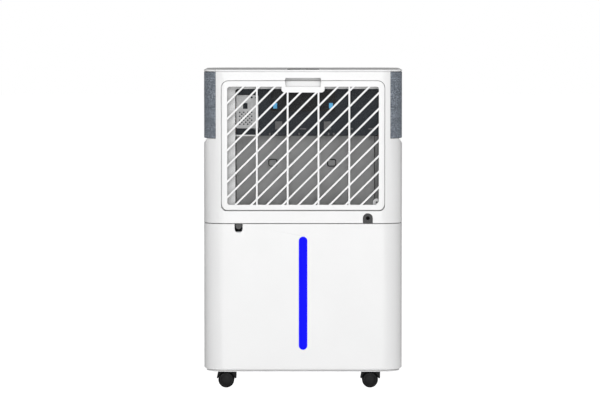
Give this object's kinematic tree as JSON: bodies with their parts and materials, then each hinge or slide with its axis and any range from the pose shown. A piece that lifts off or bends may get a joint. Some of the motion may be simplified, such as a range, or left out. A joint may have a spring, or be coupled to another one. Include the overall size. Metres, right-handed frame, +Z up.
{
  "type": "dehumidifier",
  "caption": "Free-standing room dehumidifier: white upright case, slatted air inlet with a hinged filter frame, pull-out water tank with a blue level window, on twin-wheel casters.",
  "frame": {"origin": "on the floor, under the middle of the case's outline", "axes": "+Z up, -Y out of the face with the air inlet and the water tank, +X to the right when looking at that face"},
  "size_m": [0.31, 0.24, 0.5],
  "materials": {
    "white_abs": "fine satin moulded plastic",
    "grey_abs": "satin moulded plastic",
    "fabric": "coarse woven cover fabric, blue grey",
    "gloss_panel": "smooth gloss plastic",
    "circuit_board": "solder-masked glass laminate",
    "black_abs": "satin moulded plastic",
    "zinc_plate": "zinc-plated pressed sheet",
    "aluminium_fins": "closely stacked fins",
    "copper": "bare copper tube",
    "black_steel": "satin black paint",
    "rubber": "matt rubber",
    "blue_window": "translucent saturated blue strip",
    "clear_plastic": "frosted clear plastic",
    "filter_mesh": "open woven nylon mesh"
  },
  "bodies": {
    "cabinet": {"base_plate": "white_abs", "rear_column": "white_abs", "mid_deck": "grey_abs", "inlet_housing": "white_abs", "outlet_housing": "white_abs", "top_cover": "white_abs", "side_cap_left": "grey_abs", "side_cap_right": "grey_abs", "side_panel_left": "fabric", "side_panel_right": "fabric", "control_panel": "gloss_panel", "control_board": "circuit_board", "cord_gland": "black_abs", "drain_spout": "grey_abs", "coil_baffle": "black_abs", "perforated_bracket": "zinc_plate", "evaporator_core": "aluminium_fins", "evaporator_end_left": "copper", "evaporator_end_right": "copper", "condenser_core": "aluminium_fins", "condenser_end_left": "copper", "condenser_end_right": "copper", "drain_pan": "black_abs", "fan_orifice": "black_abs", "fan_volute": "grey_abs", "fan_motor": "black_steel", "outlet_grille": "black_abs", "suction_line": "copper", "discharge_line": "copper", "capillary_tube": "copper", "electronics_box": "grey_abs", "compressor": "black_steel", "accumulator": "black_steel", "compressor_foot_1": "rubber", "compressor_foot_2": "rubber", "compressor_foot_3": "rubber"},
    "grille": {"filter_grille": "white_abs", "filter_net": "filter_mesh"},
    "tank": {"tank": "white_abs", "tank_window": "blue_window", "tank_lid": "clear_plastic", "float_guide": "clear_plastic"},
    "float": {"tank_float": "grey_abs"},
    "louver": {"louver": "white_abs"},
    "impeller": {"impeller": "black_abs"},
    "drain_cap": {"drain_cap": "grey_abs"},
    "button_1": {"button_1": "grey_abs"},
    "button_2": {"button_2": "grey_abs"},
    "button_3": {"button_3": "grey_abs"},
    "button_4": {"button_4": "grey_abs"},
    "button_5": {"button_5": "grey_abs"},
    "hood_front_left": {"caster_hood_front_left": "black_abs"},
    "wheel_front_left": {"caster_wheel_front_left": "rubber"},
    "hood_front_right": {"caster_hood_front_right": "black_abs"},
    "wheel_front_right": {"caster_wheel_front_right": "rubber"},
    "hood_rear_left": {"caster_hood_rear_left": "black_abs"},
    "wheel_rear_left": {"caster_wheel_rear_left": "rubber"},
    "hood_rear_right": {"caster_hood_rear_right": "black_abs"},
    "wheel_rear_right": {"caster_wheel_rear_right": "rubber"}
  },
  "joints": [
    {"name": "tank_slide", "type": "slide", "parent": "cabinet", "child": "tank", "axis": [0, -1, 0], "range_m": [0, 0.14]},
    {"name": "grille_hinge", "type": "hinge", "parent": "cabinet", "child": "grille", "pos_m": [0, -0.1177, 0.2829], "axis": [1, 0, 0], "range_deg": [0, 60]},
    {"name": "float_slide", "type": "slide", "parent": "tank", "child": "float", "axis": [0, 0, 1], "range_m": [0, 0.015]},
    {"name": "louver_hinge", "type": "hinge", "parent": "cabinet", "child": "louver", "pos_m": [0, 0.0245, 0.49875], "axis": [1, 0, 0], "range_deg": [0, 80]},
    {"name": "fan_spin", "type": "hinge", "parent": "cabinet", "child": "impeller", "pos_m": [0, 0.057, 0.365], "axis": [0, 1, 0], "continuous": true},
    {"name": "drain_cap_pull", "type": "slide", "parent": "cabinet", "child": "drain_cap", "axis": [0, -1, 0], "range_m": [0, 0.02]},
    {"name": "button_1_press", "type": "slide", "parent": "cabinet", "child": "button_1", "axis": [0, 0, -1], "range_m": [0, 0.0008], "stiffness_N_per_m": 1500, "springref_m": -0.0002},
    {"name": "button_2_press", "type": "slide", "parent": "cabinet", "child": "button_2", "axis": [0, 0, -1], "range_m": [0, 0.0008], "stiffness_N_per_m": 1500, "springref_m": -0.0002},
    {"name": "button_3_press", "type": "slide", "parent": "cabinet", "child": "button_3", "axis": [0, 0, -1], "range_m": [0, 0.0008], "stiffness_N_per_m": 1500, "springref_m": -0.0002},
    {"name": "button_4_press", "type": "slide", "parent": "cabinet", "child": "button_4", "axis": [0, 0, -1], "range_m": [0, 0.0008], "stiffness_N_per_m": 1500, "springref_m": -0.0002},
    {"name": "button_5_press", "type": "slide", "parent": "cabinet", "child": "button_5", "axis": [0, 0, -1], "range_m": [0, 0.0008], "stiffness_N_per_m": 1500, "springref_m": -0.0002},
    {"name": "swivel_front_left", "type": "hinge", "parent": "cabinet", "child": "hood_front_left", "pos_m": [-0.113, -0.082, 0.031], "axis": [0, 0, 1], "continuous": true},
    {"name": "roll_front_left", "type": "hinge", "parent": "hood_front_left", "child": "wheel_front_left", "pos_m": [-0.12065, -0.082, 0.0126], "axis": [0, 1, 0], "continuous": true},
    {"name": "swivel_front_right", "type": "hinge", "parent": "cabinet", "child": "hood_front_right", "pos_m": [0.113, -0.082, 0.031], "axis": [0, 0, 1], "continuous": true},
    {"name": "roll_front_right", "type": "hinge", "parent": "hood_front_right", "child": "wheel_front_right", "pos_m": [0.10535, -0.082, 0.0126], "axis": [0, 1, 0], "continuous": true},
    {"name": "swivel_rear_left", "type": "hinge", "parent": "cabinet", "child": "hood_rear_left", "pos_m": [-0.113, 0.082, 0.031], "axis": [0, 0, 1], "continuous": true},
    {"name": "roll_rear_left", "type": "hinge", "parent": "hood_rear_left", "child": "wheel_rear_left", "pos_m": [-0.12065, 0.082, 0.0126], "axis": [0, 1, 0], "continuous": true},
    {"name": "swivel_rear_right", "type": "hinge", "parent": "cabinet", "child": "hood_rear_right", "pos_m": [0.113, 0.082, 0.031], "axis": [0, 0, 1], "continuous": true},
    {"name": "roll_rear_right", "type": "hinge", "parent": "hood_rear_right", "child": "wheel_rear_right", "pos_m": [0.10535, 0.082, 0.0126], "axis": [0, 1, 0], "continuous": true}
  ]
}
